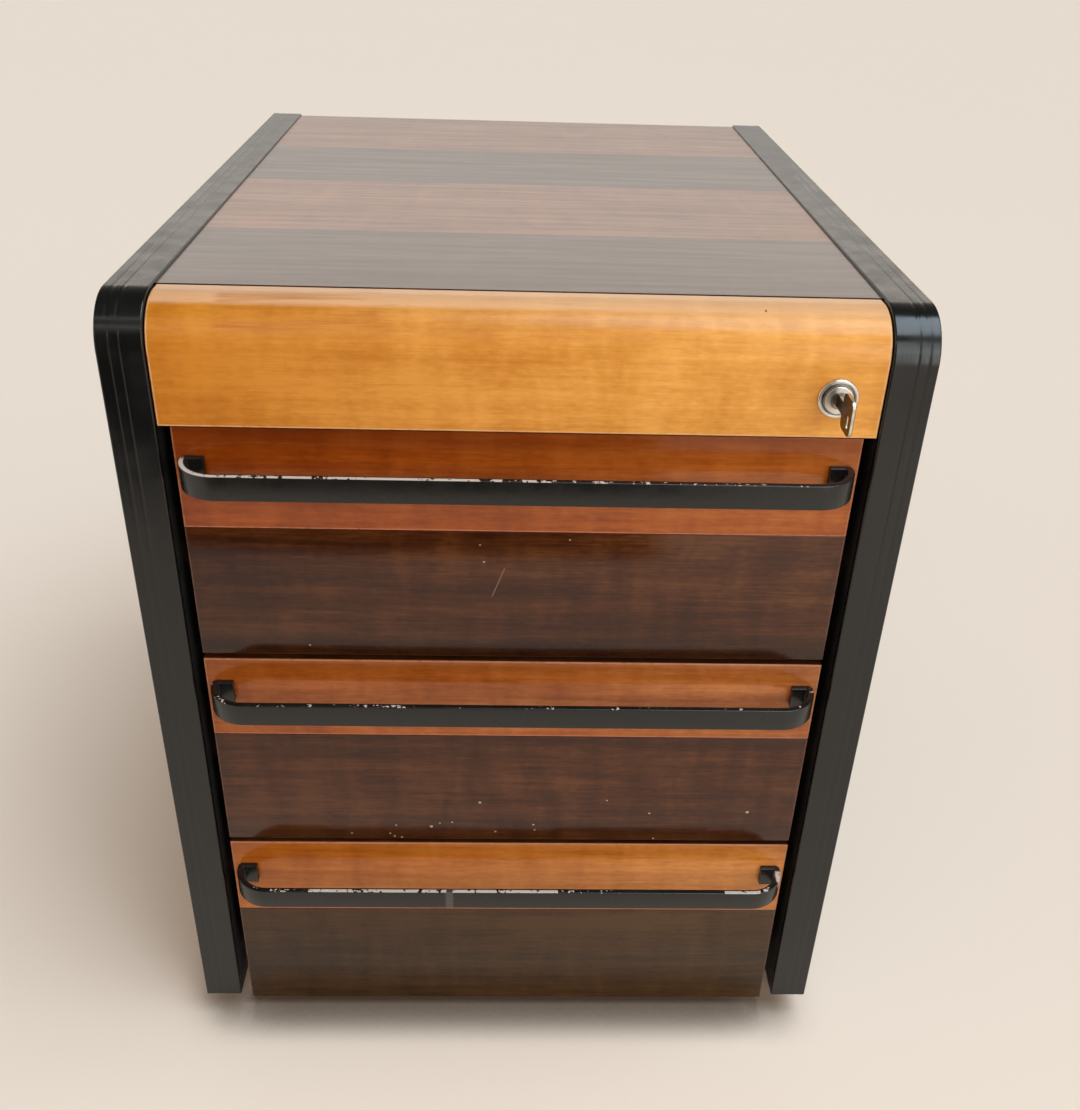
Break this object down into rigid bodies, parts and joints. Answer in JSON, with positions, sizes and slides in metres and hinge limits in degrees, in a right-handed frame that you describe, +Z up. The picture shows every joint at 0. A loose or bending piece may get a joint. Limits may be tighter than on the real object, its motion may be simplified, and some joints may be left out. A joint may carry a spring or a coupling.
{
  "type": "drawer pedestal",
  "caption": "Low drawer pedestal with a curved pencil drawer front, stacked drawers with bent bar handles, striped veneers, black side panels, a front lock and hidden castors.",
  "frame": {"origin": "centre of the object's footprint, key included, on the floor that it stands on", "axes": "+X to the right as seen from the front, +Y from the drawer fronts to the back, +Z up, out of the top"},
  "size_m": [0.45, 0.573, 0.554],
  "materials": {
    "black_laminate": "fine matt black laminate",
    "trim_plastic": "satin extruded plastic, lightly fluted",
    "honey_veneer": "satin lacquered honey veneer",
    "light_veneer": "satin lacquered red brown veneer",
    "dark_veneer": "satin lacquered dark brown veneer",
    "front_board": "stained board",
    "carcass_board": "stained board",
    "drawer_box": "pale lacquered ply",
    "drawer_bottom": "pale hardboard",
    "hardwood": "waxed beech",
    "handle_enamel": "satin dark enamel, worn at the edges",
    "zinc_steel": "bright zinc",
    "lock_nickel": "satin nickel",
    "core_nickel": "satin nickel",
    "key_steel": "worn nickel",
    "tray_plastic": "matt moulded plastic",
    "castor_plastic": "matt nylon"
  },
  "bodies": {
    "cabinet": {"left_side_panel": "black_laminate", "right_side_panel": "black_laminate", "back_panel": "black_laminate", "left_edge_trim": "trim_plastic", "right_edge_trim": "trim_plastic", "left_runners": "hardwood", "right_runners": "hardwood", "carcass_dowels": "hardwood", "top_panel": "carcass_board", "base_panel": "carcass_board", "top_dark_veneer": "dark_veneer", "top_light_veneer": "light_veneer", "back_screws": "zinc_steel", "runner_screws": "zinc_steel", "hanger_screws": "zinc_steel", "castor_screws": "zinc_steel", "castor_plates": "zinc_steel", "tray_hangers": "tray_plastic", "lock_strike": "zinc_steel"},
    "pencil_drawer": {"pencil_drawer_front": "honey_veneer", "pencil_tray": "tray_plastic", "tray_screws": "zinc_steel", "lock_body": "lock_nickel", "lock_nut": "zinc_steel"},
    "lock_core": {"lock_core": "core_nickel", "lock_cam": "zinc_steel", "lock_cam_screw": "zinc_steel"},
    "key": {"key": "key_steel"},
    "upper_drawer": {"upper_drawer_front": "front_board", "upper_drawer_light_veneer": "light_veneer", "upper_drawer_dark_veneer": "dark_veneer", "upper_drawer_handle": "handle_enamel", "upper_drawer_handle_screws": "zinc_steel", "upper_drawer_sides": "drawer_box", "upper_drawer_back": "drawer_box", "upper_drawer_bottom": "drawer_bottom"},
    "middle_drawer": {"middle_drawer_front": "front_board", "middle_drawer_light_veneer": "light_veneer", "middle_drawer_dark_veneer": "dark_veneer", "middle_drawer_handle": "handle_enamel", "middle_drawer_handle_screws": "zinc_steel", "middle_drawer_sides": "drawer_box", "middle_drawer_back": "drawer_box", "middle_drawer_bottom": "drawer_bottom"},
    "lower_drawer": {"lower_drawer_front": "front_board", "lower_drawer_light_veneer": "light_veneer", "lower_drawer_dark_veneer": "dark_veneer", "lower_drawer_handle": "handle_enamel", "lower_drawer_handle_screws": "zinc_steel", "lower_drawer_sides": "drawer_box", "lower_drawer_back": "drawer_box", "lower_drawer_bottom": "drawer_bottom"},
    "front_left_castor": {"front_left_castor_hood": "castor_plastic"},
    "front_left_wheels": {"front_left_castor_wheels": "castor_plastic"},
    "front_right_castor": {"front_right_castor_hood": "castor_plastic"},
    "front_right_wheels": {"front_right_castor_wheels": "castor_plastic"},
    "back_left_castor": {"back_left_castor_hood": "castor_plastic"},
    "back_left_wheels": {"back_left_castor_wheels": "castor_plastic"},
    "back_right_castor": {"back_right_castor_hood": "castor_plastic"},
    "back_right_wheels": {"back_right_castor_wheels": "castor_plastic"}
  },
  "joints": [
    {"name": "pencil_drawer_slide", "type": "slide", "parent": "cabinet", "child": "pencil_drawer", "axis": [0, -1, 0], "range_m": [0, 0.28]},
    {"name": "lock_turn", "type": "hinge", "parent": "pencil_drawer", "child": "lock_core", "pos_m": [0.173, -0.2565, 0.5075], "axis": [0, 1, 0], "range_deg": [0, 90]},
    {"name": "key_pull", "type": "slide", "parent": "lock_core", "child": "key", "axis": [0, -1, 0], "range_m": [0, 0.022]},
    {"name": "upper_drawer_slide", "type": "slide", "parent": "cabinet", "child": "upper_drawer", "axis": [0, -1, 0], "range_m": [0, 0.36]},
    {"name": "middle_drawer_slide", "type": "slide", "parent": "cabinet", "child": "middle_drawer", "axis": [0, -1, 0], "range_m": [0, 0.36]},
    {"name": "lower_drawer_slide", "type": "slide", "parent": "cabinet", "child": "lower_drawer", "axis": [0, -1, 0], "range_m": [0, 0.36]},
    {"name": "front_left_castor_swivel", "type": "hinge", "parent": "cabinet", "child": "front_left_castor", "pos_m": [-0.15, -0.1825, 0.05], "axis": [0, 0, 1], "continuous": true},
    {"name": "front_left_wheel_roll", "type": "hinge", "parent": "front_left_castor", "child": "front_left_wheels", "pos_m": [-0.15, -0.1645, 0.02], "axis": [1, 0, 0], "continuous": true},
    {"name": "front_right_castor_swivel", "type": "hinge", "parent": "cabinet", "child": "front_right_castor", "pos_m": [0.15, -0.1825, 0.05], "axis": [0, 0, 1], "continuous": true},
    {"name": "front_right_wheel_roll", "type": "hinge", "parent": "front_right_castor", "child": "front_right_wheels", "pos_m": [0.15, -0.1645, 0.02], "axis": [1, 0, 0], "continuous": true},
    {"name": "back_left_castor_swivel", "type": "hinge", "parent": "cabinet", "child": "back_left_castor", "pos_m": [-0.15, 0.2265, 0.05], "axis": [0, 0, 1], "continuous": true},
    {"name": "back_left_wheel_roll", "type": "hinge", "parent": "back_left_castor", "child": "back_left_wheels", "pos_m": [-0.15, 0.2445, 0.02], "axis": [1, 0, 0], "continuous": true},
    {"name": "back_right_castor_swivel", "type": "hinge", "parent": "cabinet", "child": "back_right_castor", "pos_m": [0.15, 0.2265, 0.05], "axis": [0, 0, 1], "continuous": true},
    {"name": "back_right_wheel_roll", "type": "hinge", "parent": "back_right_castor", "child": "back_right_wheels", "pos_m": [0.15, 0.2445, 0.02], "axis": [1, 0, 0], "continuous": true}
  ]
}
